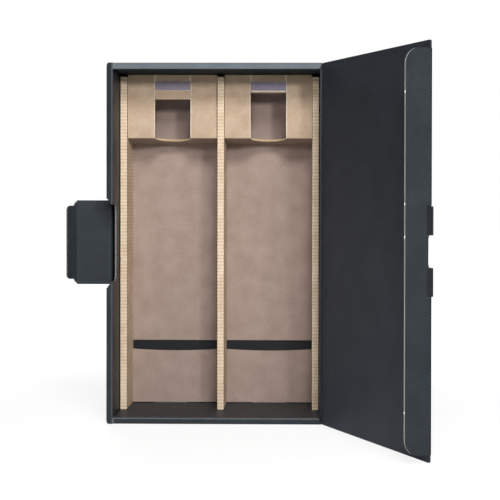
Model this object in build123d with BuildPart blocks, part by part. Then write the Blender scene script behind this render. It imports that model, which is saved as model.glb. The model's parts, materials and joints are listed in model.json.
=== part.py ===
from build123d import *
from math import cos, radians, sin
import os

os.makedirs("parts", exist_ok=True)

# Two-bottle gift box of black corrugated board with a kraft board insert. It stands upright, with its open
# side at the front (-Y), the back panel at +Y and the lid hinged on the right (+X). The origin is the centre
# of the outer bottom face. Sizes are in millimetres and angles in degrees.

# Outer box
box_width = 195.0  # outside, left to right
box_height = 327.0  # outside, bottom to top
box_depth = 95.0  # outside, rim to back
board = 1.5  # thickness of the black board
crease_radius = 1.2  # outer rounding of a creased edge
rim_width = 6.0  # across a rolled-over wall at the rim
rim_fall = 1.0  # a rim's outer crease lies this far behind its inner one
foot_width = 4.8  # across the same wall at the back panel, where the skins close up
rim_chamfer_long = 3.5  # clipped outer corners of the left rim, along the rim
rim_chamfer_short = 1.2  # and across it
rim_mitre = 2.4  # how far the right end of the top and bottom rims slants in
skin_setback = 0.8  # top and bottom outer skins stop this short of the left face
corner_gap = 0.3  # between the ends of the skins that meet at a corner

# Tabs that lock the inner skins into the back panel
tab_length = 30.0
tab_clearance = 0.3
side_tab_pitch = 95.0  # three tabs on the left wall
end_tab_pitch = 96.0  # two tabs on the top and bottom walls

# Dust flaps, held in the hollow of the top and bottom walls
dust_flap_length = 62.0
dust_flap_taper = 8.0
dust_flap_clearance = 2.0  # to the rim's board and to the back panel

# Lid and tuck flap
lid_angle = 115.6  # how far the lid stands open
lid_clearance = 0.3  # lid to rims, and lid to the wall that it hinges on
lid_end_gap = 0.5  # lid's ends to the box's ends
lid_corner_radius = 1.5  # lid's free corners
flap_clearance = 1.9  # tuck flap to the left wall's inner face, lid closed
crease_gap = 0.3  # panels of one sheet on each side of a moving crease
tuck_angle = 90.0  # how far the tuck flap is folded in
tuck_length = 22.5  # from its crease to its cut edge
tuck_end_clearance = 1.2  # tuck flap's ends to the inner skins
tuck_corner_radius = 13.0
tongue_length = 1.6  # lid's tongues past the tuck flap's outer face
tongue_corner_radius = 1.5
finger_notch_width = 25.0
finger_notch_depth = 4.2  # from the crease into the lid
finger_notch_radius = 3.0

# Lock flap and its lip
lock_angle = 90.0  # how far the lock flap stands out from the left wall
lock_span = 78.0  # along the wall
lock_length = 33.0  # from its crease to the lip's crease
lock_side_gap = 1.5  # to the cut-out's sides at the rim
lock_corner_long = 1.0  # clipped corners beside the lip's crease, along the flap
lock_corner_short = 0.9  # and across it
lip_angle = 45.0  # how far the lip is bent from the lock flap
lip_span = 68.0
lip_length = 10.0
lip_shoulder = 3.6  # the lip's root is this much wider on each side
lip_shoulder_length = 2.2
lip_corner_radius = 4.0
lip_slot_clearance = 1.0  # each end of the slot that the lip goes into
lip_window_clearance = 1.3  # each end of the window in the left wall's inner skin
window_depth = 26.0  # how far the window goes down from the rim
window_radius = 8.0
rim_cut_run = 4.7  # across the rim, where its cut narrows from the lock flap to the lip

# Insert
insert_board = 1.5
insert_side_clearance = 0.7
insert_end_clearance = 0.3
rail_width = 6.1  # top strip of a folded rail
rail_height = 45.5  # above the floor plates
rail_crease_radius = 0.8
rail_setback = 2.8  # rails stop this short of the insert's upper end
centre_rail_offset = 1.1  # centre rail stands this far right of the insert's middle
base_slot_width = 8.8
base_slot_height = 51.8  # from the insert's lower end to the slot
base_slot_sag = 1.5  # how far the slot's lower edge bows down

# Neck shelves and their adjuster strips
shelf_drop = 5.0  # below the tops of the rails
shelf_length = 60.3
shelf_clearance = 0.3  # to the rails
shelf_crease_radius = 1.0
shelf_front_slant = 3.4  # how far the front's foot stands out past its crease
neck_notch_width = 33.6
neck_notch_straight = 5.0  # straight part of the notch in the shelf's front, before its round bottom
strip_start = 6.6  # first crease, from the insert's upper end
strip_length = 8.5
strip_side_gap = 0.3
left_upper_strip_angle = -6.0  # from the shelf's plane, positive is folded in
left_lower_strip_angle = 6.0  # from the upper strip
right_upper_strip_angle = 4.0
right_lower_strip_angle = 82.0

# Places worked out from the sizes
x_left = -box_width / 2
x_right = box_width / 2
y_rim = -box_depth / 2
y_back = box_depth / 2
y_back_inner = y_back - board
z_middle = box_height / 2
wall_run = box_depth - board
rim_board = board + rim_fall  # from the rim's plane to the underside of its sloping board
hollow_start = y_rim + rim_board
lock_crease_depth = lock_length + board
cut_half = lock_span / 2 + lock_side_gap
slot_half = lip_span / 2 + lip_slot_clearance
window_half = lip_span / 2 + lip_window_clearance
rail_top_depth = wall_run - insert_board - rail_height
wall_at_rail = rim_width - (rim_width - foot_width) * rail_top_depth / wall_run
insert_left = x_left + wall_at_rail + insert_side_clearance
insert_right = x_right - board - insert_side_clearance
insert_bottom = wall_at_rail + insert_end_clearance
insert_top = box_height - wall_at_rail - insert_end_clearance
y_floor = y_back_inner - insert_board
y_rail = y_rim + rail_top_depth
y_shelf = y_rail + shelf_drop
centre_rail_left = (insert_left + insert_right - rail_width) / 2 + centre_rail_offset
through = 1.0  # overrun of a cutting body


# Rolled-over walls: the section is an outer skin, a rim and an inner skin that leans towards the outer one.
# In the section's own plane, X runs inwards from the outer face and Y runs back from the rim.
def wall_section(plane):
    with BuildSketch(plane) as section:
        with BuildLine():
            Polyline(
                (0, wall_run), (0, rim_fall), (rim_width, 0), (foot_width, wall_run),
                (foot_width - board, wall_run), (rim_width - board, board + rim_fall * board / rim_width),
                (board, rim_board - rim_fall * board / rim_width), (board, wall_run),
                close=True,
            )
        make_face()
        fillet(section.vertices().sort_by(Axis.Y)[:2], crease_radius)
    return section.sketch


side_tab_heights = [z_middle + step * side_tab_pitch for step in (-1, 0, 1)]
end_tab_places = [step * end_tab_pitch / 2 for step in (-1, 1)]
tab_plane = Plane(origin=(0, y_back_inner, 0), x_dir=(1, 0, 0), z_dir=(0, 1, 0))  # its Y runs down
side_tab_x = x_left + foot_width - board / 2
end_tab_z = foot_width - board / 2


# Left wall, with the cut-out that the lock flap and its lip were cut from
left_plane = Plane(origin=(x_left, y_rim, 0), x_dir=(1, 0, 0), z_dir=(0, 0, 1))
window_plane = Plane(origin=(x_left + board, y_rim, z_middle), x_dir=(0, 1, 0), z_dir=(1, 0, 0))
with BuildPart() as left_wall:
    extrude(wall_section(left_plane), amount=box_height)
    # The outer skin stops under the top and bottom outer skins, the inner skin stops at their inner skins
    skin_depth = y_back_inner - hollow_start
    for end_height in (0, box_height):
        with Locations((x_left, hollow_start, end_height)):
            Box(board, skin_depth, 2 * board,
                align=(Align.MIN, Align.MIN, Align.CENTER), mode=Mode.SUBTRACT)
        with Locations((x_left + board, hollow_start, end_height)):
            Box(rim_width, skin_depth, 2 * (rim_width + corner_gap),
                align=(Align.MIN, Align.MIN, Align.CENTER), mode=Mode.SUBTRACT)
    # Clipped outer corners of the rim
    with BuildSketch(Plane(origin=(x_left, y_rim - through, z_middle), x_dir=(1, 0, 0), z_dir=(0, 1, 0))):
        with BuildLine():
            Polyline((0, z_middle), (rim_chamfer_short, z_middle), (0, z_middle - rim_chamfer_long),
                     close=True)
        make_face()
        mirror(about=Plane.XZ)
    extrude(amount=through + rim_board, mode=Mode.SUBTRACT)
    # Cut-out in the outer skin
    with BuildSketch(Plane(origin=(x_left - through, y_rim, z_middle), x_dir=(0, 1, 0), z_dir=(1, 0, 0))):
        with BuildLine():
            Polyline(
                (-through, cut_half), (0, cut_half), (lock_crease_depth, lock_span / 2 + crease_gap),
                (lock_crease_depth, -lock_span / 2 - crease_gap), (0, -cut_half), (-through, -cut_half),
                close=True,
            )
        make_face()
    extrude(amount=through + board, mode=Mode.SUBTRACT)
    # Cut across the rim, narrowing from the lock flap's width to the lip's
    with BuildSketch(Plane(origin=(x_left, y_rim - through, z_middle), x_dir=(1, 0, 0), z_dir=(0, 1, 0))):
        with BuildLine():
            Polyline(
                (0, cut_half), (rim_cut_run, window_half), (rim_width + through, window_half),
                (rim_width + through, -window_half), (rim_cut_run, -window_half), (0, -cut_half),
                close=True,
            )
        make_face()
    extrude(amount=through + rim_board, mode=Mode.SUBTRACT)
    # Window in the inner skin
    with BuildSketch(window_plane) as window:
        with BuildLine():
            Polyline((-through, window_half), (window_depth, window_half), (window_depth, -window_half),
                     (-through, -window_half), close=True)
        make_face()
        fillet(window.vertices().group_by(Axis.X)[-1], window_radius)
    extrude(amount=rim_width, mode=Mode.SUBTRACT)
    # Tabs through the back panel
    with BuildSketch(tab_plane):
        with Locations(*[(side_tab_x, -height) for height in side_tab_heights]):
            Rectangle(board, tab_length)
    extrude(amount=board)
left_wall.part.label = "left_wall"
export_step(left_wall.part, "parts/left_wall.step")


# Top and bottom walls. The rim and the inner skin stop at the left rim, the outer skin runs on behind it.
top_plane = Plane(origin=(x_left, y_rim, box_height), x_dir=(0, 0, -1), z_dir=(1, 0, 0))
bottom_plane = Plane(origin=(x_right, y_rim, 0), x_dir=(0, 0, 1), z_dir=(-1, 0, 0))
end_walls = (("top_wall", top_plane, box_height, -1), ("bottom_wall", bottom_plane, 0, 1))
for name, plane, outer_z, inward in end_walls:
    skin_z = outer_z + inward * board  # inner face of the outer skin
    far_z = outer_z + inward * (rim_width + through)
    with BuildPart() as end_wall:
        extrude(wall_section(plane), amount=box_width)
        # Left end
        with Locations((x_left, y_rim - through, outer_z)):
            Box(rim_width, through + rim_board, 2 * (rim_width + through),
                align=(Align.MIN, Align.MIN, Align.CENTER), mode=Mode.SUBTRACT)
            Box(skin_setback, 2 * box_depth, 2 * board,
                align=(Align.MIN, Align.MIN, Align.CENTER), mode=Mode.SUBTRACT)
        with Locations((x_left, y_rim, (skin_z + far_z) / 2)):
            Box(rim_width, 2 * box_depth, abs(far_z - skin_z),
                align=(Align.MIN, Align.MIN, Align.CENTER), mode=Mode.SUBTRACT)
        # Right end of the inner skin stops at the right wall
        with Locations((x_right - board - corner_gap, hollow_start, (skin_z + far_z) / 2)):
            Box(board + corner_gap + through, 2 * box_depth, abs(far_z - skin_z),
                align=(Align.MIN, Align.MIN, Align.CENTER), mode=Mode.SUBTRACT)
        # Slanted right end of the rim
        with BuildSketch(Plane(origin=(x_right, y_rim - through, outer_z), x_dir=(1, 0, 0), z_dir=(0, 1, 0))):
            with BuildLine():
                Polyline((0, 0), (-rim_mitre, -inward * rim_width), (through, -inward * rim_width),
                         close=True)
            make_face()
        extrude(amount=through + rim_board, mode=Mode.SUBTRACT)
        # Tabs through the back panel
        with BuildSketch(tab_plane):
            with Locations(*[(place, -(outer_z + inward * end_tab_z)) for place in end_tab_places]):
                Rectangle(tab_length, board)
        extrude(amount=board)
    end_wall.part.label = name
    export_step(end_wall.part, f"parts/{name}.step")


# Right wall, a single board. Its front corners stop behind the rims that run over them.
with BuildPart() as right_wall:
    with BuildSketch(Plane(origin=(x_right - board, y_rim, z_middle), x_dir=(0, 1, 0), z_dir=(1, 0, 0))):
        Rectangle(wall_run, box_height - 2 * board, align=(Align.MIN, Align.CENTER))
        rim_reach = rim_width + corner_gap - board
        with Locations((0, z_middle - board), (0, board - z_middle)):
            Rectangle(2 * rim_board, 2 * rim_reach, mode=Mode.SUBTRACT)
    extrude(amount=board)
    front_edge = right_wall.edges().filter_by(Axis.Z).group_by(Axis.Y)[0].sort_by(Axis.X)[-1]
    fillet(front_edge, crease_radius / 2)
right_wall.part.label = "right_wall"
export_step(right_wall.part, "parts/right_wall.step")


# Back panel, with a slot for each tab
with BuildPart() as back_panel:
    with BuildSketch(tab_plane):
        with Locations((0, -z_middle)):
            Rectangle(box_width, box_height)
        with Locations(*[(side_tab_x, -height) for height in side_tab_heights]):
            Rectangle(board + 2 * tab_clearance, tab_length + 2 * tab_clearance, mode=Mode.SUBTRACT)
        end_tab_heights = (end_tab_z, box_height - end_tab_z)
        with Locations(*[(place, -height) for place in end_tab_places for height in end_tab_heights]):
            Rectangle(tab_length + 2 * tab_clearance, board + 2 * tab_clearance, mode=Mode.SUBTRACT)
    extrude(amount=board)
    fillet(back_panel.faces().sort_by(Axis.Y)[-1].outer_wire().edges(), crease_radius)
back_panel.part.label = "back_panel"
export_step(back_panel.part, "parts/back_panel.step")


# Dust flaps: end flaps of the left and right walls, flat against the outer skins of the top and bottom walls
for end_name, outer_z, inward in (("top", box_height, -1), ("bottom", 0, 1)):
    for side_name, root_x, outwards in (("left", x_left + board, 1), ("right", x_right - board, -1)):
        name = f"{end_name}_{side_name}_dust_flap"
        flap_front = hollow_start + dust_flap_clearance
        flap_back = y_back_inner - dust_flap_clearance
        flap_tip = root_x + outwards * dust_flap_length
        with BuildPart() as dust_flap:
            with BuildSketch(Plane.XY.offset(outer_z + inward * board)):
                with BuildLine():
                    Polyline(
                        (root_x, flap_front), (root_x, flap_back), (flap_tip, flap_back - dust_flap_taper),
                        (flap_tip, flap_front + dust_flap_taper),
                        close=True,
                    )
                make_face()
            extrude(amount=inward * board)
        dust_flap.part.label = name
        export_step(dust_flap.part, f"parts/{name}.step")


# Lid. In its plane, X runs from the hinge to the free edge, Y runs up and Z points to the inside.
up = Vector(0, 0, 1)
lid_hinge = Vector(x_right, y_rim, 0)
lid_run = Vector(-cos(radians(lid_angle)), -sin(radians(lid_angle)), 0)
lid_inside = lid_run.cross(up)
lid_plane = Plane(origin=lid_hinge - lid_inside * lid_clearance, x_dir=lid_run, z_dir=lid_inside)
tuck_face = box_width - rim_width - flap_clearance  # hinge to the outer face of the folded tuck flap
tuck_crease = tuck_face - board
lid_edge = tuck_crease - crease_gap / 2
tongue_tip = tuck_face + tongue_length
notch_bottom = tuck_crease - finger_notch_depth
notch_half = finger_notch_width / 2

with BuildPart() as lid_panel:
    with BuildSketch(lid_plane) as lid_outline:
        with Locations((lid_clearance, lid_end_gap)):
            Rectangle(lid_edge - lid_clearance, box_height - 2 * lid_end_gap, align=(Align.MIN, Align.MIN))
        fillet(lid_outline.vertices().group_by(Axis.X)[-1], lid_corner_radius)
        with Locations((notch_bottom, z_middle)):
            Rectangle(tongue_tip - notch_bottom, 2 * slot_half, align=(Align.MIN, Align.CENTER))
        fillet(lid_outline.vertices().group_by(Axis.X)[-1], tongue_corner_radius)
        with Locations((notch_bottom, z_middle)):
            Rectangle(tongue_tip, finger_notch_width, align=(Align.MIN, Align.CENTER), mode=Mode.SUBTRACT)
        notch_corners = [v for v in lid_outline.vertices() if abs(v.X - notch_bottom) < 0.01]
        fillet(notch_corners, finger_notch_radius)
    extrude(amount=-board)
    hinge_edges = lid_panel.edges().filter_by(Axis.Z).sort_by(lambda e: (e.center() - lid_hinge).length)
    fillet(hinge_edges[1], crease_radius / 2)
lid_panel.part.label = "lid_panel"
export_step(lid_panel.part, "parts/lid_panel.step")


# Tuck flap, hinged on the lid's inner face, with the slot that the lock lip goes into
tuck_run = lid_run * cos(radians(tuck_angle)) + lid_inside * sin(radians(tuck_angle))
tuck_inside = tuck_run.cross(up)
tuck_hinge = lid_plane.from_local_coords(Vector(tuck_crease, 0, 0))
tuck_bottom = rim_width + tuck_end_clearance
slot_depth = board + tongue_length + crease_gap  # the tongues are cut from it, and lie in it when it is flat
with BuildPart() as tuck_flap:
    with BuildSketch(Plane(origin=tuck_hinge, x_dir=tuck_run, z_dir=tuck_inside)) as flap_outline:
        with Locations((crease_gap / 2, tuck_bottom)):
            Rectangle(tuck_length - crease_gap / 2, box_height - 2 * tuck_bottom,
                      align=(Align.MIN, Align.MIN))
        fillet(flap_outline.vertices().group_by(Axis.X)[-1], tuck_corner_radius)
        with Locations((0, z_middle)):
            Rectangle(2 * slot_depth, 2 * (slot_half + crease_gap), mode=Mode.SUBTRACT)
    extrude(amount=-board)
tuck_flap.part.label = "tuck_flap"
export_step(tuck_flap.part, "parts/tuck_flap.step")


# Lock flap, hinged on the left wall's outer face. In its plane Z points to its outer face.
lock_hinge = Vector(x_left, y_rim + lock_crease_depth, z_middle)
lock_run = Vector(-sin(radians(lock_angle)), -cos(radians(lock_angle)), 0)
lock_outside = lock_run.cross(up)
with BuildPart() as lock_flap:
    with BuildSketch(Plane(origin=lock_hinge, x_dir=lock_run, z_dir=lock_outside)):
        with BuildLine():
            lock_end = lock_length - crease_gap / 2
            Polyline(
                (crease_gap, -lock_span / 2), (lock_end - lock_corner_long, -lock_span / 2),
                (lock_end, -lock_span / 2 + lock_corner_short), (lock_end, lock_span / 2 - lock_corner_short),
                (lock_end - lock_corner_long, lock_span / 2), (crease_gap, lock_span / 2),
                close=True,
            )
        make_face()
    extrude(amount=-board)
lock_flap.part.label = "lock_flap"
export_step(lock_flap.part, "parts/lock_flap.step")


# Lock lip, hinged on the lock flap's inner face
lip_hinge = lock_hinge + lock_run * lock_length - lock_outside * board
lip_run = lock_run * cos(radians(lip_angle)) - lock_outside * sin(radians(lip_angle))
lip_half = lip_span / 2
with BuildPart() as lock_lip:
    with BuildSketch(Plane(origin=lip_hinge, x_dir=lip_run, z_dir=lip_run.cross(up))) as lip_outline:
        with BuildLine():
            Polyline(
                (crease_gap / 2, -lip_half - lip_shoulder), (lip_shoulder_length, -lip_half),
                (lip_length, -lip_half), (lip_length, lip_half), (lip_shoulder_length, lip_half),
                (crease_gap / 2, lip_half + lip_shoulder),
                close=True,
            )
        make_face()
        fillet(lip_outline.vertices().group_by(Axis.X)[-1], lip_corner_radius)
    extrude(amount=board)
lock_lip.part.label = "lock_lip"
export_step(lock_lip.part, "parts/lock_lip.step")


# Insert rails: double walls folded from the sheet, each with a top strip. The outer walls of the side rails
# reach the back panel, the walls beside a bay stand on its floor plate.
rails = (
    ("left_rail", insert_left, y_back_inner, y_floor),
    ("centre_rail", centre_rail_left, y_floor, y_floor),
    ("right_rail", insert_right - rail_width, y_floor, y_back_inner),
)
for name, rail_left, left_foot, right_foot in rails:
    rail_right = rail_left + rail_width
    with BuildPart() as rail:
        with BuildSketch(Plane.XY.offset(insert_bottom)) as rail_section:
            with BuildLine():
                Polyline(
                    (rail_left, left_foot), (rail_left, y_rail),
                    (rail_right, y_rail), (rail_right, right_foot),
                    (rail_right - insert_board, right_foot),
                    (rail_right - insert_board, y_rail + insert_board),
                    (rail_left + insert_board, y_rail + insert_board), (rail_left + insert_board, left_foot),
                    close=True,
                )
            make_face()
            fillet(rail_section.vertices().group_by(Axis.Y)[0], rail_crease_radius)
        extrude(amount=insert_top - rail_setback - insert_bottom)
    rail.part.label = name
    export_step(rail.part, f"parts/{name}.step")


# The two bays: floor plate, neck shelf, its folded front and two adjuster strips
z_shelf_front = insert_top - shelf_length
z_strip_crease = insert_top - strip_start
bays = (
    ("left", insert_left + rail_width, centre_rail_left, left_upper_strip_angle, left_lower_strip_angle),
    ("right", centre_rail_left + rail_width, insert_right - rail_width, right_upper_strip_angle,
     right_lower_strip_angle),
)
for side, bay_left, bay_right, upper_angle, lower_angle in bays:
    bay_middle = (bay_left + bay_right) / 2
    bay_width = bay_right - bay_left

    # Floor plate, which runs under the rail walls on both sides. Its slot reaches the rails.
    floor_plane = Plane(origin=(bay_middle, y_floor, insert_bottom), x_dir=(1, 0, 0), z_dir=(0, -1, 0))
    with BuildPart() as floor:
        with BuildSketch(floor_plane):
            Rectangle(bay_width + 2 * insert_board, insert_top - insert_bottom,
                      align=(Align.CENTER, Align.MIN))
            slot_top = base_slot_height + base_slot_width
            with BuildLine():
                slot_low = ThreePointArc(
                    (-bay_width / 2, base_slot_height), (0, base_slot_height - base_slot_sag),
                    (bay_width / 2, base_slot_height),
                )
                Polyline(slot_low @ 1, (bay_width / 2, slot_top), (-bay_width / 2, slot_top), slot_low @ 0)
            make_face(mode=Mode.SUBTRACT)
        extrude(amount=-insert_board)
    floor.part.label = f"{side}_floor"
    export_step(floor.part, f"parts/{side}_floor.step")

    # Shelf plate and the end wall that it folds down from, with the notch for the neck and the strips
    shelf_width = bay_width - 2 * shelf_clearance
    shelf_side = Plane(origin=(bay_middle - shelf_width / 2, 0, 0), x_dir=(0, 1, 0), z_dir=(1, 0, 0))
    with BuildPart() as shelf:
        with BuildSketch(shelf_side) as side_view:
            with BuildLine():
                Polyline(
                    (y_shelf, z_shelf_front), (y_shelf, insert_top), (y_floor, insert_top),
                    (y_floor, insert_top - insert_board), (y_shelf + insert_board, insert_top - insert_board),
                    (y_shelf + insert_board, z_shelf_front),
                    close=True,
                )
            make_face()
            fillet(side_view.vertices().group_by(Axis.X)[0], shelf_crease_radius)
        extrude(amount=shelf_width)
        with Locations((bay_middle, y_shelf - through, z_shelf_front - through)):
            Box(neck_notch_width, 2 * through + insert_board, through + z_strip_crease - z_shelf_front,
                align=(Align.CENTER, Align.MIN, Align.MIN), mode=Mode.SUBTRACT)
    shelf.part.label = f"{side}_shelf"
    export_step(shelf.part, f"parts/{side}_shelf.step")

    # Front of the shelf, folded down to the floor plate, with a U notch that the neck lies in
    front_top = y_shelf + insert_board
    front_slope = shelf_front_slant / (y_floor - front_top)
    front_board = insert_board * (1 + front_slope ** 2) ** 0.5
    with BuildPart() as shelf_front:
        with BuildSketch(shelf_side):
            with BuildLine():
                Polyline(
                    (front_top, z_shelf_front), (y_floor, z_shelf_front - shelf_front_slant),
                    (y_floor, z_shelf_front - shelf_front_slant + front_board),
                    (front_top, z_shelf_front + front_board),
                    close=True,
                )
            make_face()
        extrude(amount=shelf_width)
        with BuildSketch(Plane.XY.offset(z_shelf_front - shelf_front_slant - through)):
            with Locations((bay_middle, y_shelf + neck_notch_straight)):
                Circle(neck_notch_width / 2)
                Rectangle(neck_notch_width, neck_notch_straight + through, align=(Align.CENTER, Align.MAX))
        extrude(amount=shelf_front_slant + front_board + 2 * through, mode=Mode.SUBTRACT)
    shelf_front.part.label = f"{side}_shelf_front"
    export_step(shelf_front.part, f"parts/{side}_shelf_front.step")

    # Adjuster strips: each hinges on the back face of what carries it
    strip_width = neck_notch_width - 2 * strip_side_gap
    crease_y, crease_z, turn = y_shelf + insert_board, z_strip_crease, 0
    for step, angle in (("upper", upper_angle), ("lower", lower_angle)):
        turn = turn + angle
        strip_run = Vector(0, sin(radians(turn)), -cos(radians(turn)))
        strip_back = Vector(1, 0, 0).cross(strip_run)
        strip_plane = Plane(origin=(bay_middle, crease_y, crease_z), x_dir=(1, 0, 0), z_dir=strip_back)
        with BuildPart() as strip:
            with BuildSketch(strip_plane):
                with Locations((0, crease_gap)):
                    Rectangle(strip_width, strip_length - crease_gap, align=(Align.CENTER, Align.MIN))
            extrude(amount=-insert_board)
        strip.part.label = f"{side}_{step}_strip"
        export_step(strip.part, f"parts/{side}_{step}_strip.step")
        crease_y = crease_y + strip_length * strip_run.Y
        crease_z = crease_z + strip_length * strip_run.Z
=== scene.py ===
import json
import math
import bpy
import numpy as np
from mathutils import Euler, Matrix, Vector


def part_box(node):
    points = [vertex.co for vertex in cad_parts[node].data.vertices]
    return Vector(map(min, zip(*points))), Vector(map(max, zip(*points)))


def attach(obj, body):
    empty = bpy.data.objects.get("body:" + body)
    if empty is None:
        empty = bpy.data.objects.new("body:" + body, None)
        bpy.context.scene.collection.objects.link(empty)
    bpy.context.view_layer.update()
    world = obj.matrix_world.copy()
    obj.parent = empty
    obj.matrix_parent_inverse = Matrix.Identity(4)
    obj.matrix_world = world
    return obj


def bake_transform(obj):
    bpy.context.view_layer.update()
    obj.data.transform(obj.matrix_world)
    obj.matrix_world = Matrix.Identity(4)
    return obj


print("Loading the packed box")
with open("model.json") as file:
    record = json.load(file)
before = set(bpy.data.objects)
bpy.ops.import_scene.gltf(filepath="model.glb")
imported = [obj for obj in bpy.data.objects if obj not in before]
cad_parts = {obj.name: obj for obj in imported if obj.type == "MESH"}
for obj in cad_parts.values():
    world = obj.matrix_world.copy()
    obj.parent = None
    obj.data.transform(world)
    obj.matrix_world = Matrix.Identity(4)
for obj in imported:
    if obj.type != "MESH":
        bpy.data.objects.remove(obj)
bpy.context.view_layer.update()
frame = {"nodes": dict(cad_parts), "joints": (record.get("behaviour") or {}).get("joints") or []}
nodes = frame["nodes"]
joints = {joint["name"]: joint for joint in frame["joints"]}
mm = 0.001


def hexColour(code):  # sRGB hex to linear, with full alpha: a power law above the short straight toe
    values = [int(code[i:i + 2], 16) / 255 for i in (1, 3, 5)]
    return [v / 12.92 if v <= 0.04045 else ((v + 0.055) / 1.055) ** 2.4 for v in values] + [1.0]


def addNode(tree, kind, inputs=(), **settings):
    # A node with its settings and its links. Its inputs go to the sockets in use in their order, or by name
    # in a dictionary. A socket is linked, a node is linked by its first output in use, the rest are values.
    node = tree.nodes.new("ShaderNode" + kind)
    for key, value in settings.items():
        setattr(node, key, value)
    inUse = [socket for socket in node.inputs if socket.enabled]
    for key, value in inputs.items() if isinstance(inputs, dict) else enumerate(inputs):
        socket = node.inputs[key] if isinstance(key, str) else inUse[key]
        if isinstance(value, bpy.types.Node):
            value = next(output for output in value.outputs if output.enabled)
        if isinstance(value, bpy.types.NodeSocket):
            tree.links.new(value, socket)
        else:
            socket.default_value = value
    return node


def emptyTree(owner):  # the node tree of a new material or world, with nothing in it yet
    owner.use_nodes = True
    owner.node_tree.nodes.clear()
    return owner.node_tree


def addObject(name, data):
    made = bpy.data.objects.new(name, data)
    bpy.context.scene.collection.objects.link(made)
    return made


def corners(node):  # a node's lowest and highest corner, in millimetres
    return np.array(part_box(node)) / mm


def heights(node, inset=0.0):  # a node's bottom and top, less an inset at both
    low, high = corners(node)
    return low[2] + inset, high[2] - inset


def hingePoint(joint):  # a point of the joint's axis, in millimetres
    return np.array(joints[joint]["pos_m"]) / mm


# The board, and the lid and the flaps in the box's own frame, in millimetres. Hinge lines start at the floor.
boardThickness = 1.5  # E-flute
flutePitch = 3.1  # its fluting, seen as the row of dots along every upright crease
creaseGap = 0.3  # what the solids leave free at a moving crease
xAxis, yAxis, zAxis = np.eye(3)
onFloor = xAxis + yAxis
lidAngle = math.radians(-joints["lid_hinge"]["range_deg"][0])  # the lid stands open by what closes it
lidRun = np.array([-math.cos(lidAngle), -math.sin(lidAngle), 0.0])  # from its hinge to its free edge
lidInside = np.array([lidRun[1], -lidRun[0], 0.0])  # the way its inner face looks
lidHinge = hingePoint("lid_hinge") * onFloor
tuckHinge = hingePoint("tuck_hinge") * onFloor
tuckMiddle = (tuckHinge - lidHinge) @ lidRun + boardThickness / 2  # the tuck flap's mid-plane, along the lid
lockHinge = hingePoint("lock_hinge") * onFloor
lipHinge = hingePoint("lip_hinge") * onFloor
lipRun = np.array([-math.sqrt(0.5), -math.sqrt(0.5), 0.0])  # the lip is bent 45 degrees to the lock flap
lipOutside = np.array([-math.sqrt(0.5), math.sqrt(0.5), 0.0])
stripTurns = {"left": {"upper": -6, "lower": 0}, "right": {"upper": 4, "lower": 86}}  # folded in, in degrees


def onLid(along, inwards):  # a point of the lid: from its hinge line along it, and from there inwards
    return lidHinge + lidRun * along + lidInside * inwards


def stripWays(angle):  # the ways to the back of a strip and down along it, folded in by the angle
    turn = math.radians(angle)
    return np.array([0, math.cos(turn), math.sin(turn)]), np.array([0, math.sin(turn), -math.cos(turn)])


# Black board: E-flute corrugated board with a matt black coated liner. The coating gives a dark, slightly
# blue grey with a soft sheen, the flutes show through as faint ribs, and the uncoated core is a pale grey at
# cut edges.
blackBoard = {
    "liner": "#202529", "linerLight": "#282d31", "core": "#a09e99", "hollow": "#5f5d58",
    "roughness": 0.52, "specular": 0.30, "sheen": "#f0f4ff",
    "rubAndHighlight": "#6a7074", "rubAndHighlightShare": 0.7, "rubAndHighlightBase": 0.5, "gapShare": 0.0,
    "mottleSize": 22.0, "fleck": 0.02, "ribTone": 0.04, "ribHeight": 0.006, "grainHeight": 0.010,
}
# Its front rim is painted pale grey, a painted highlight where light from above catches it, and it is dull
# inside, where the kraft would mirror in it
rimBoard = {**blackBoard, "rim": "#656c72", "specular": 0.12, "roughness": 0.72}
rimCrease = {"rubAndHighlightBase": 0.70, "rubAndHighlightShare": 0.45}  # the rims' creases: a nearly even pale line, a painted highlight on their rounded folds
bottomBoard = {**blackBoard, **rimCrease, "liner": "#242a2e", "linerLight": "#2d3237"}  # a paler liner, and the rims' painted crease highlight
lidBoard = {**blackBoard, "liner": "#1f252c", "linerLight": "#272d34"}  # a bluer liner: a painted cool tone that cancels the kraft's warm reflected light
tuckBoard = {**blackBoard, "core": "#b0afaa", "hollow": "#8d8c87"}  # its cut edge is painted paler: a painted highlight, as a clean cut edge catching the light
hingeBoard = {**blackBoard, "rim": "#15181b"}  # its front, beside the lid, is painted nearly black: painted shade where it bends over the front edge
backBoard = {**blackBoard, "rim": "#0c0d0f"}  # its face toward the front is painted nearly black: painted shade in the gaps beside the insert
innerBoard = {**blackBoard, **rimCrease, "rubAndHighlightShare": 0.30, "core": "#76706f"}  # a fainter painted crease highlight, and its cut edges painted dark grey: painted shade deep in the lock's cut-out, and partly worn
# The coating is cracked dull where the board bends, and its liner is painted darker there: painted shade in
# the crease
creaseShadeBoard = {**blackBoard, "liner": "#15181b", "linerLight": "#1a1d20", "specular": 0.12, "roughness": 0.6}
tornBoard = {**blackBoard, "core": "#d6d5d0", "hollow": "#d6d5d0"}  # torn fibres, paler than a clean cut

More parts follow.
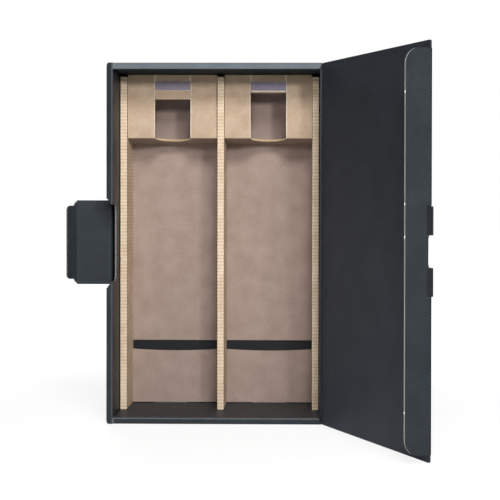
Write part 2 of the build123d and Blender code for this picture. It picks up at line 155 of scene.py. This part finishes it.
# Kraft board: E-flute corrugated board with a bare kraft liner. It gives a warm, dry, unglazed brown with
# long fibres, darker flecks and cloudy patches.
kraftBoard = {
    "liner": "#ac947c", "linerLight": "#bda892", "core": "#d8c3a0", "hollow": "#9c8160",
    "roughness": 0.82, "specular": 0.25, "sheen": "#ffffff",
    "rubAndHighlight": "#e6d3b8", "rubAndHighlightShare": 0.7, "rubAndHighlightBase": 0.0, "gapShare": 0.35,
    "mottleSize": 16.0, "fleck": 0.10, "ribTone": 0.03, "ribHeight": 0.004, "grainHeight": 0.014,
}
shadedBaseBoard = {**kraftBoard, "liner": "#927f75", "linerLight": "#a08d83"}  # darker and purpler: painted shade of the deep bays and under the shelves
shadedStripBoard = {**kraftBoard, "liner": "#7f7786", "linerLight": "#8e8595", "roughness": 0.6}  # lilac grey and smoother: painted shade under the top wall and a painted cool sheen
# The notches' edges are pale
shelfBoard = {**kraftBoard, "rubAndHighlight": "#f2e6d2", "rubAndHighlightShare": 0.55, "rubAndHighlightBase": 0.8, "gapShare": 0.0}
# A paler liner with the flutes showing across it, and pale dots along the folds, partly rubbed and partly a
# painted highlight
railBoard = {
    **kraftBoard, "liner": "#c3aa8d", "linerLight": "#dac5ae", "ribTone": 0.30,
    "rubAndHighlight": "#f0e2cc", "rubAndHighlightShare": 0.6, "rubAndHighlightBase": 0.25, "gapShare": 0.15,
}
ridgeHighlightBoard = {**kraftBoard, "liner": "#d9c8b4", "linerLight": "#e6d8c6"}  # paler on the ridge: partly broken fibre, partly a painted highlight

# What the patterns of both boards measure. Scales are per millimetre and heights in millimetres. A range is
# where a noise, the flutes' wave, a distance or a facing begins to tell and where it tells in full. Fibres
# come out 3 mm long across the box and 0.8 mm thick, and specks 2 mm wide.
pattern = {
    "cloudDetail": 4.0, "cloudRoughness": 0.6, "cloudRange": (0.3, 0.7),
    "fibreScale": 0.9, "fibreStretch": (0.35, 0.35, 1.4), "fibreDetail": 3.0,
    "fibreRange": (0.3, 0.7), "fibreTone": 0.25, "fibreRoughness": 0.05,
    "speckScale": 0.55, "speckDetail": 2.0, "speckRange": (0.62, 0.72),
    "rubAndHighlightRange": (-0.2, 0.6), "gapRange": (-0.9, -0.3), "bandCore": 0.5, "crushHeight": 0.10,
    "linerFacing": (0.55, 0.65), "frontFacing": (0.5, 0.7), "rimTone": 0.8,
    "waveSwing": 0.5, "waveRange": (0.12, 0.30), "skinRange": (0.48, 0.58),
    "paperRange": (-0.5, 0.5), "paperLeast": 0.25, "paperHeight": 0.15, "cutRoughness": 0.9,
}


def boardMaterial(name, look, faces, middle=None, ribs="Z", creases=(), lean=None, cutZone=None,
                  rimZone=None):
    # Corrugated board of the look's colours. faces are the normals of its liner faces, so that what faces any
    # other way is a cut edge. middle is a point of a flat panel's mid-plane, for the fluting seen on its
    # upright cut edges: a sine of the flutes' pitch across the thickness. ribs is the axis that the flutes
    # are counted along. creases are (axis, place, axis, place, reach): the line of a fold, with the flutes
    # crushed within reach of it on both axes. lean is (axis, slope): the faces that run along the axis lean
    # by the slope, as folded board does. cutZone and the rim zone are boxes in which what faces the front is
    # a cut edge, or takes the look's rim tone: a painted highlight on the top rim, painted shade elsewhere.
    material = bpy.data.materials.new(name)
    tree = emptyTree(material)
    coords = addNode(tree, "TexCoord").outputs
    place = addNode(tree, "VectorMath", (coords["Object"], 1 / mm), operation="SCALE")
    xyz = dict(zip("XYZ", addNode(tree, "SeparateXYZ", (place,)).outputs))

    # Liner: cloudy patches, fibres, flecks, and a faint rib at each flute
    linerColour, lightColour = hexColour(look["liner"]), hexColour(look["linerLight"])
    cloud = addNode(tree, "TexNoise", {"Vector": place, "Scale": 1 / look["mottleSize"],
                                       "Detail": pattern["cloudDetail"],
                                       "Roughness": pattern["cloudRoughness"]})
    stretched = addNode(tree, "Mapping", {"Vector": place, "Scale": pattern["fibreStretch"]})
    fibre = addNode(tree, "TexNoise", {"Vector": stretched, "Scale": pattern["fibreScale"],
                                       "Detail": pattern["fibreDetail"]})
    speck = addNode(tree, "TexNoise", {"Vector": place, "Scale": pattern["speckScale"],
                                       "Detail": pattern["speckDetail"]})
    phase = addNode(tree, "Math", (xyz[ribs], 2 * math.pi / flutePitch), operation="MULTIPLY")
    wave = addNode(tree, "Math", (phase,), operation="SINE")
    clouds = addNode(tree, "MapRange", (cloud, *pattern["cloudRange"]))
    ribbed = addNode(tree, "Math", (wave, look["ribTone"], clouds), operation="MULTIPLY_ADD")
    fibres = addNode(tree, "MapRange", (fibre, *pattern["fibreRange"],
                                        -pattern["fibreTone"], pattern["fibreTone"]))
    tone = addNode(tree, "Math", (ribbed, fibres), operation="ADD", use_clamp=True)
    liner = addNode(tree, "Mix", (tone, linerColour, lightColour), data_type="RGBA")
    flecks = addNode(tree, "MapRange", (speck, *pattern["speckRange"], 0.0, look["fleck"]))
    colour = addNode(tree, "Mix", (flecks, liner, linerColour), data_type="RGBA", blend_type="MULTIPLY")
    grain = addNode(tree, "Math", (fibre, look["grainHeight"]), operation="MULTIPLY")
    height = addNode(tree, "Math", (wave, look["ribHeight"], grain), operation="MULTIPLY_ADD")

    # Creases: lighter on each flute and darker between. The lighter flutes are partly rubbed and partly a
    # painted highlight
    for firstAxis, firstPlace, secondAxis, secondPlace, reach in creases:
        distances = []
        for axis, line in ((firstAxis, firstPlace), (secondAxis, secondPlace)):
            offset = addNode(tree, "Math", (xyz[axis], line), operation="SUBTRACT")
            distances.append(addNode(tree, "Math", (offset,), operation="ABSOLUTE"))
        farther = addNode(tree, "Math", distances, operation="MAXIMUM")
        band = addNode(tree, "MapRange", (farther, reach * pattern["bandCore"], reach, 1.0, 0.0))
        dots = addNode(tree, "MapRange", (wave, *pattern["rubAndHighlightRange"],
                                          look["rubAndHighlightShare"] * look["rubAndHighlightBase"], look["rubAndHighlightShare"]))
        rubAndHighlightMask = addNode(tree, "Math", (band, dots), operation="MULTIPLY")
        colour = addNode(tree, "Mix", (rubAndHighlightMask, colour, hexColour(look["rubAndHighlight"])), data_type="RGBA")
        between = addNode(tree, "MapRange", (wave, *pattern["gapRange"], look["gapShare"], 0.0))
        gaps = addNode(tree, "Math", (band, between), operation="MULTIPLY")
        colour = addNode(tree, "Mix", (gaps, colour, linerColour), data_type="RGBA", blend_type="MULTIPLY")
        crushed = addNode(tree, "Math", (band, wave), operation="MULTIPLY")
        height = addNode(tree, "Math", (crushed, pattern["crushHeight"], height), operation="MULTIPLY_ADD")
    if lean:
        height = addNode(tree, "Math", (xyz[lean[0]], lean[1], height), operation="MULTIPLY_ADD")

    # What is a cut edge, and what takes the rim tone: painted highlight on the top rim, painted shade
    # elsewhere
    cut = 1.0
    for face in faces:
        along = addNode(tree, "VectorMath", (coords["Normal"], face), operation="DOT_PRODUCT")
        facing = addNode(tree, "Math", (along,), operation="ABSOLUTE")
        away = addNode(tree, "MapRange", (facing, *pattern["linerFacing"], 1.0, 0.0))
        cut = addNode(tree, "Math", (cut, away), operation="MULTIPLY")

    def frontIn(box):  # what faces the front inside a box
        front = addNode(tree, "VectorMath", (coords["Normal"], -yAxis), operation="DOT_PRODUCT")
        mask = addNode(tree, "MapRange", (front, *pattern["frontFacing"]))
        for axis, low, high in zip("XYZ", *box):
            centre, half = (low + high) / 2, (high - low) / 2
            within = addNode(tree, "Math", (xyz[axis], centre, half), operation="COMPARE")
            mask = addNode(tree, "Math", (mask, within), operation="MULTIPLY")
        return mask

    if rimZone:
        mottled = addNode(tree, "MapRange", (tone, 0.0, 1.0, pattern["rimTone"], 1.0))
        rimShare = addNode(tree, "Math", (frontIn(rimZone), mottled), operation="MULTIPLY")
        colour = addNode(tree, "Mix", (rimShare, colour, hexColour(look["rim"])), data_type="RGBA")
    if cutZone:
        cut = addNode(tree, "Math", (cut, frontIn(cutZone)), operation="MAXIMUM")

    # The cut edge: pale paper, with dark hollows between the wave and the two liners
    if middle is None:
        paper = addNode(tree, "MapRange", (wave, *pattern["paperRange"], pattern["paperLeast"], 1.0))
    else:
        across = addNode(tree, "VectorMath", (place, faces[0]), operation="DOT_PRODUCT")
        depth = addNode(tree, "Math", (across, float(np.dot(middle, faces[0]))), operation="SUBTRACT")
        swing = addNode(tree, "Math", (wave, pattern["waveSwing"]), operation="MULTIPLY")
        fromWave = addNode(tree, "Math", (depth, swing), operation="SUBTRACT")
        offWave = addNode(tree, "Math", (fromWave,), operation="ABSOLUTE")
        wavePaper = addNode(tree, "MapRange", (offWave, *pattern["waveRange"], 1.0, 0.0))
        offMiddle = addNode(tree, "Math", (depth,), operation="ABSOLUTE")
        skins = addNode(tree, "MapRange", (offMiddle, *pattern["skinRange"]))
        paper = addNode(tree, "Math", (wavePaper, skins), operation="MAXIMUM")
    edge = addNode(tree, "Mix", (paper, hexColour(look["hollow"]), hexColour(look["core"])), data_type="RGBA")
    colour = addNode(tree, "Mix", (cut, colour, edge), data_type="RGBA")
    cutPaper = addNode(tree, "Math", (cut, paper), operation="MULTIPLY")
    height = addNode(tree, "Math", (cutPaper, pattern["paperHeight"], height), operation="MULTIPLY_ADD")

    cutRough = addNode(tree, "MapRange", (cut, 0.0, 1.0, look["roughness"], pattern["cutRoughness"]))
    fibreRough = addNode(tree, "MapRange", (fibre, *pattern["fibreRange"],
                                            -pattern["fibreRoughness"], pattern["fibreRoughness"]))
    rough = addNode(tree, "Math", (cutRough, fibreRough), operation="ADD")
    bump = addNode(tree, "Bump", {"Height": height, "Strength": 1.0, "Distance": mm})
    shader = addNode(tree, "BsdfPrincipled", {
        "Base Color": colour, "Roughness": rough, "Normal": bump, "IOR": 1.5,
        "Specular IOR Level": look["specular"], "Specular Tint": hexColour(look["sheen"])})
    addNode(tree, "OutputMaterial", {"Surface": shader})
    return material


def dress(finishes, kind, look):  # a material for each panel, in this look unless the panel names its own
    for name, finish in finishes.items():
        materials = nodes[name].data.materials
        materials.clear()
        materials.append(boardMaterial(f"{kind} {name}", **{"look": look, **finish}))


def frontZone(node, left=-100, right=100):
    # A box from 1 mm before a node's front to 1.5 mm behind it, between two places across the box
    low, high = corners(node)
    return (left, low[1] - 1, low[2] - 0.5), (right, low[1] + 1.5, high[2] + 0.5)


def uprightCreases(node, places, reach):  # creases up a node's front, at these places across the box
    return [("X", place, "Y", corners(node)[0][1], reach) for place in places]


print("Finishing the black board")
wallLow, wallHigh = corners("left_wall")
rimSeam = wallHigh[0]  # the top and bottom rims butt on the left one here, and show a cut edge
seamEdge = (rimSeam - 0.2, rimSeam + 0.8)
lockBottom, lockTop = heights("lock_flap", -4.5)
# The lock's cut-out behind the left rim, where the edges that face the front are cut
lockOpening = ((wallLow[0] + 1.6, wallLow[1] + 1.1, lockBottom), (rimSeam + 1.5, lockHinge[1] - 2, lockTop))
bottomCrease = ("Z", heights("bottom_wall", 0.7)[1], "Y", corners("bottom_wall")[0][1], 1.2)
blackFinish = {
    "lid_panel": dict(look=lidBoard, faces=[lidInside, lidRun],
                      middle=onLid(0, -creaseGap - boardThickness / 2)),
    "tuck_flap": dict(look=tuckBoard, faces=[lidRun], middle=onLid(tuckMiddle, 0)),
    "lock_flap": dict(faces=[yAxis, xAxis], middle=corners("lock_flap").mean(0)),
    "lock_lip": dict(faces=[lipOutside], middle=lipHinge + lipOutside * boardThickness / 2),
    "left_wall": dict(look=innerBoard, faces=[xAxis, yAxis], cutZone=lockOpening, lean=("X", 0.10),
                      creases=uprightCreases("left_wall", [rimSeam - 0.8], reach=0.9)),
    "right_wall": dict(look=hingeBoard, faces=[xAxis, yAxis], rimZone=frontZone("right_wall")),
    "top_wall": dict(look=rimBoard, faces=[zAxis, yAxis], ribs="X", lean=("Z", -0.07),
                     cutZone=frontZone("top_wall", *seamEdge), rimZone=frontZone("top_wall", rimSeam)),
    "bottom_wall": dict(look=bottomBoard, faces=[zAxis, yAxis], ribs="X", creases=[bottomCrease],
                        cutZone=frontZone("bottom_wall", *seamEdge)),
    "back_panel": dict(look=backBoard, faces=[yAxis], middle=corners("back_panel").mean(0),
                       rimZone=frontZone("back_panel")),
    "top_left_dust_flap": dict(faces=[zAxis], ribs="Y"),
    "top_right_dust_flap": dict(faces=[zAxis], ribs="Y"),
    "bottom_left_dust_flap": dict(faces=[zAxis], ribs="Y"),
    "bottom_right_dust_flap": dict(faces=[zAxis], ribs="Y"),
}
dress(blackFinish, "black coated E-flute", blackBoard)

print("Finishing the kraft board")
notchGap = 0.05  # between a strip and the sides of its notch
kraftFinish = {}
for side in ("left", "centre", "right"):
    low, high = corners(f"{side}_rail")
    kraftFinish[f"{side}_rail"] = dict(look=railBoard, faces=[xAxis, yAxis],
                                       creases=uprightCreases(f"{side}_rail", (low[0], high[0]), reach=1.4))
for side in ("left", "right"):
    low, high = corners(f"{side}_upper_strip")
    notch = (low[0] - notchGap, high[0] + notchGap)
    kraftFinish[f"{side}_floor"] = dict(look=shadedBaseBoard, faces=[yAxis],
                                        middle=corners(f"{side}_floor").mean(0))
    kraftFinish[f"{side}_shelf"] = dict(look=shelfBoard, faces=[yAxis, zAxis],
                                        creases=uprightCreases(f"{side}_shelf", notch, reach=1.3))
    kraftFinish[f"{side}_shelf_front"] = dict(look=shadedBaseBoard, faces=[zAxis])
    for row, look in (("upper", shadedStripBoard), ("lower", kraftBoard)):
        back = stripWays(stripTurns[side][row])[0]
        kraftFinish[f"{side}_{row}_strip"] = dict(
            look=look, faces=[back], middle=hingePoint(f"{side}_{row}_hinge") - back * boardThickness / 2)
dress(kraftFinish, "kraft E-flute", kraftBoard)


def signedVolume(mesh):  # sum over triangles of the triple product, a sixth of it
    mesh.calc_loop_triangles()
    places = np.empty(len(mesh.vertices) * 3)
    mesh.vertices.foreach_get("co", places)
    triangles = np.empty(len(mesh.loop_triangles) * 3, int)
    mesh.loop_triangles.foreach_get("vertices", triangles)
    a, b, c = places.reshape(-1, 3)[triangles.reshape(-1, 3)].transpose(1, 0, 2)
    return float(np.einsum("ij,ij->i", a, np.cross(b, c)).sum() / 6)


def carriedMesh(name, loops, material):
    # Closed skin over a row of equal closed loops, an array of stations by points by 3 in millimetres, with a
    # fan over each end. It is turned right side out by the sign of its volume.
    stations, count = loops.shape[:2]
    points = loops.reshape(-1, 3)
    ends = np.array([loops[0].mean(0), loops[-1].mean(0)])
    row, column = np.meshgrid(np.arange(stations - 1), np.arange(count), indexing="ij")
    nextColumn = (column + 1) % count
    quads = np.stack([row * count + column, row * count + nextColumn, (row + 1) * count + nextColumn,
                      (row + 1) * count + column], -1).reshape(-1, 4)
    around = np.arange(count)
    last = (stations - 1) * count
    firstCap = np.stack([np.full(count, len(points)), (around + 1) % count, around], -1)
    lastCap = np.stack([np.full(count, len(points) + 1), last + around, last + (around + 1) % count], -1)
    faces = quads.tolist() + firstCap.tolist() + lastCap.tolist()
    mesh = bpy.data.meshes.new(name)
    mesh.from_pydata(np.vstack([points, ends]) * mm, [], faces)
    mesh.validate()
    if signedVolume(mesh) < 0:
        mesh.flip_normals()
    mesh.materials.append(material)
    mesh.polygons.foreach_set("use_smooth", np.ones(len(mesh.polygons), bool))
    return addObject(name, mesh)


def endFace(hinge, away, outwards, gap, inner):  # a panel's end face beside its hinge: inner and outer edge
    return hinge + away * gap + outwards * inner, hinge + away * gap + outwards * boardThickness


# The outer skin of a fold is what lies beyond the outer share of its widest radius
foldSkin = {"around": 13, "perFlute": 4, "crush": 0.05, "outerShare": 0.7}


def creaseFold(name, axis, material, bodies, hinge, span, first, second, bulge=0.0):
    # Board that wraps a moving crease, from the end face of one panel to that of the next: along the inner
    # and the outer skin, angle and radius about the hinge run evenly from one face to the other. The outer
    # skin also swells by the bulge, as half a sine, and by the crush at each flute, as a sine. span is its
    # ends along the axis.
    side = np.cross(axis, yAxis)
    other = np.cross(axis, side)

    def polar(point):  # angle and radius of a point about the hinge
        across, over = (point - hinge) @ side, (point - hinge) @ other
        return math.atan2(over, across), math.hypot(over, across)

    share = np.linspace(0, 1, foldSkin["around"])
    skins = []
    for start, end in zip(first, second):
        (startAngle, startRadius), (endAngle, endRadius) = polar(start), polar(end)
        turn = (endAngle - startAngle + math.pi) % (2 * math.pi) - math.pi
        skins.append((startAngle + turn * share, startRadius + (endRadius - startRadius) * share))
    (innerAngle, innerRadius), (outerAngle, outerRadius) = skins
    angle = np.concatenate([outerAngle, innerAngle[::-1]])
    radius = np.concatenate([outerRadius + bulge * np.sin(np.pi * share), innerRadius[::-1]])
    stations = np.linspace(*span, int((span[1] - span[0]) / (flutePitch / foldSkin["perFlute"])))
    flutes = np.sin(2 * np.pi * stations / flutePitch)[:, None]
    spread = radius + foldSkin["crush"] * flutes * (radius > radius.max() * foldSkin["outerShare"])
    loops = (hinge + (np.cos(angle) * spread)[..., None] * side + (np.sin(angle) * spread)[..., None] * other
             + stations[:, None, None] * axis)
    piece = carriedMesh(name, loops, material)
    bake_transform(piece)
    return piece


print("Wrapping the moving creases")
creaseShadeLiner = boardMaterial("black coated liner at a crease, painted dark", creaseShadeBoard, [xAxis, yAxis, zAxis, lidRun, lipRun])
tuckBottom, tuckTop = heights("tuck_flap")
tonguesBottom, tonguesTop = 128.2, 198.8  # the lid's tongues lie between the two folds of the tuck flap
tuckSection = dict(bodies=("lid", "tuck"), hinge=tuckHinge,
                   first=endFace(tuckHinge, -lidRun, -lidInside, gap=0.15, inner=0.05),
                   second=endFace(tuckHinge, lidInside, lidRun, gap=0.15, inner=0.05))
blackFolds = {
    "tuckLowerFold": dict(tuckSection, span=(tuckBottom, tonguesBottom)),
    "tuckUpperFold": dict(tuckSection, span=(tonguesTop, tuckTop)),
    "lockFold": dict(bodies=("box", "lock"), hinge=lockHinge, span=heights("lock_flap", 0.4),
                     first=endFace(lockHinge, -yAxis, xAxis, gap=0.0, inner=0.1),
                     second=endFace(lockHinge, -xAxis, -yAxis, gap=creaseGap, inner=0.1)),
    "lipFold": dict(bodies=("lock", "lip"), hinge=lipHinge, span=heights("lock_lip", 0.6),
                    first=endFace(lipHinge, xAxis, yAxis, gap=0.15, inner=0.05),
                    second=endFace(lipHinge, lipRun, lipOutside, gap=0.15, inner=0.05)),
}
for name, fold in blackFolds.items():
    creaseFold(name, zAxis, creaseShadeLiner, **fold)

# Torn nubs on the tuck flap's cut edge, where it was held in its sheet: heights up the edge, the edge's place
# inwards of the lid, and half sizes across the board, outwards and along the edge
tuckNubs = {"heights": (285.4, 199.9, 174.8, 40.8), "edge": 22.2, "half": (0.55, 0.5, 1.2),
            "around": 16, "rows": 9, "pole": 0.98}
tornPaper = boardMaterial("torn paper nubs", tornBoard, faces=[xAxis * 0])  # no liner face, so it is all core


def tornNub(name, height):
    # An ellipsoid: a ring at each share of its half length, as wide as the root of one less the share
    # squared, with the ends cut just short of the poles
    across, out, up = tuckNubs["half"]
    turn = np.linspace(0, 2 * np.pi, tuckNubs["around"], endpoint=False)[:, None]
    rise = np.linspace(-tuckNubs["pole"], tuckNubs["pole"], tuckNubs["rows"])[:, None, None]
    ring = np.cos(turn) * across * lidRun + np.sin(turn) * out * lidInside
    loops = onLid(tuckMiddle, tuckNubs["edge"]) + np.sqrt(1 - rise ** 2) * ring + (height + rise * up) * zAxis
    return carriedMesh(name, loops, tornPaper)


for number, height in enumerate(tuckNubs["heights"], 1):
    nub = tornNub(f"tuckNub{number}", height)
    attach(nub, "tuck")

lidBead = {"inset": 0.3, "stations": 420, "around": 12, "radius": 0.40, "swell": 0.02}


def creaseBead(name):
    # Ridge of the lid's crease: rings about the hinge line, their radius swelling at each flute, as a sine
    turn = np.linspace(0, 2 * np.pi, lidBead["around"], endpoint=False)[:, None]
    stations = np.linspace(*heights("lid_panel", lidBead["inset"]), lidBead["stations"])[:, None, None]
    radius = lidBead["radius"] + lidBead["swell"] * np.sin(2 * np.pi * stations / flutePitch)
    loops = lidHinge + radius * (np.cos(turn) * xAxis + np.sin(turn) * yAxis) + stations * zAxis
    return carriedMesh(name, loops, creaseShadeLiner)


lidCrease = creaseBead("lidCrease")
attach(lidCrease, "box")

print("Wrapping the adjuster strips' creases")
stripFold = {"halfWidth": 16.4, "inner": 0.08, "bulge": 0.3}
kraftFold = boardMaterial("kraft liner at a crease, pale ridge", ridgeHighlightBoard, faces=[xAxis, yAxis, zAxis])
for side, turns in stripTurns.items():
    above, aboveTurn = "box", 0
    for row, turn in turns.items():
        below = f"{side}_{row}"
        hinge = hingePoint(f"{below}_hinge")
        (aboveBack, aboveDown), (belowBack, belowDown) = stripWays(aboveTurn), stripWays(turn)
        inner = stripFold["inner"]
        fold = creaseFold(f"{side}{row.capitalize()}Fold", xAxis, kraftFold, (above, below), hinge,
                          span=(-stripFold["halfWidth"], stripFold["halfWidth"]),
                          first=endFace(hinge, -aboveDown, -aboveBack, gap=0.0, inner=inner),
                          second=endFace(hinge, belowDown, -belowBack, gap=creaseGap, inner=inner),
                          bulge=stripFold["bulge"])
        above, aboveTurn = below, turn

print("Setting the camera, the light and the floor")
# Place in millimetres, turns in radians, focal length and image centre in pixels of the frame, clip in metres
cameraFit = {
    "place": (81.165, -1186.643, 202.17), "turns": (0.009, 0.002, -0.015), "focal": 1262.98,
    "centre": (284.8, 212.4), "frame": 500.0, "sensor": 36.0, "clip": (0.05, 50.0),
}
half = cameraFit["frame"] / 2
cameraData = bpy.data.cameras.new("camera")
cameraData.sensor_width = cameraFit["sensor"]
cameraData.lens = cameraFit["focal"] * cameraFit["sensor"] / cameraFit["frame"]
cameraData.shift_x = (half - cameraFit["centre"][0]) / cameraFit["frame"]
cameraData.shift_y = (cameraFit["centre"][1] - half) / cameraFit["frame"]
cameraData.clip_start, cameraData.clip_end = cameraFit["clip"]
camera = addObject("camera", cameraData)
level = Matrix.Rotation(math.pi / 2, 3, "X")
turned = Euler([-turn for turn in cameraFit["turns"]], "ZYX").to_matrix() @ level
camera.matrix_world = Matrix.Translation(Vector(cameraFit["place"]) * mm) @ turned.to_4x4()
bpy.context.scene.camera = camera

# Square softboxes: places, targets and sizes in metres, power in watts, spread in degrees
lamps = {
    "frontSoftbox": dict(place=(0.2, -1.2, 0.94), target=(0, 0, 0.2), size=0.3, power=12.8, spread=180),
    "rightSoftbox": dict(place=(0.5, -1.2, 0.55), target=(0, 0, 0.2), size=0.15, power=6.5, spread=180),
    "lowSoftbox": dict(place=(0, -1.3, 0.55), target=(0, 0, 0.2), size=0.15, power=3.4, spread=180),
    "leftSoftbox": dict(place=(-1.1, -0.35, 0.05), target=(0.13, -0.13, -0.05), size=0.4, power=0.3,
                        spread=30),
    "backSoftbox": dict(place=(-0.45, 1.3, 1.0), target=(0, 0, 0.2), size=0.6, power=14.0, spread=180),
}
for name, lamp in lamps.items():
    lampData = bpy.data.lights.new(name, "AREA")
    lampData.shape = "SQUARE"
    lampData.size = lamp["size"]
    lampData.energy = lamp["power"]
    lampData.spread = math.radians(lamp["spread"])
    lampObject = addObject(name, lampData)
    aim = Vector(lamp["target"]) - Vector(lamp["place"])
    lampObject.location = lamp["place"]
    lampObject.rotation_euler = aim.to_track_quat("-Z", "Y").to_euler()

# Studio: a trace of cool light from all round, and plain white for the camera
studio = {"ambient": "#eef2ff", "ambientStrength": 0.03, "white": "#ffffff", "whiteStrength": 1.0}
world = bpy.data.worlds.new("studio")
bpy.context.scene.world = world
tree = emptyTree(world)
path = addNode(tree, "LightPath").outputs
seen = addNode(tree, "Math", (path["Is Camera Ray"], path["Is Transmission Ray"]), operation="MAXIMUM")
ambient = addNode(tree, "Background", (hexColour(studio["ambient"]), studio["ambientStrength"]))
white = addNode(tree, "Background", (hexColour(studio["white"]), studio["whiteStrength"]))
addNode(tree, "OutputWorld", {"Surface": addNode(tree, "MixShader", (seen, ambient, white))})

# Matt seamless white paper. For the camera it glows white: near the box only in part, so that the box's soft
# shadow shows there, and wholly from the far reach on. Sizes are in metres.
sweep = {"half": 4.0, "height": -0.0004, "paper": "#e4e4e2", "glow": "#ffffff", "glowStrength": 1.12,
         "near": 0.2, "far": 0.6, "nearShare": 0.72}
sweepPaper = bpy.data.materials.new("white paper sweep")
tree = emptyTree(sweepPaper)
place = addNode(tree, "TexCoord").outputs["Object"]
reach = addNode(tree, "VectorMath", (place,), operation="LENGTH")
fade = addNode(tree, "MapRange", (reach, sweep["near"], sweep["far"], sweep["nearShare"], 1.0))
cameraRay = addNode(tree, "LightPath").outputs["Is Camera Ray"]
share = addNode(tree, "Math", (cameraRay, fade), operation="MULTIPLY")
paper = addNode(tree, "BsdfDiffuse", (hexColour(sweep["paper"]),))
glow = addNode(tree, "Emission", (hexColour(sweep["glow"]), sweep["glowStrength"]))
addNode(tree, "OutputMaterial", {"Surface": addNode(tree, "MixShader", (share, paper, glow))})
square = [(x * sweep["half"], y * sweep["half"], 0) for x, y in ((-1, -1), (1, -1), (1, 1), (-1, 1))]
floorMesh = bpy.data.meshes.new("floor")
floorMesh.from_pydata(square, [], [(0, 1, 2, 3)])
floorMesh.materials.append(sweepPaper)
floor = addObject("floor", floorMesh)
floor.location.z = sweep["height"]

bpy.context.scene.view_settings.view_transform = "Standard"
print("Dressed box done")
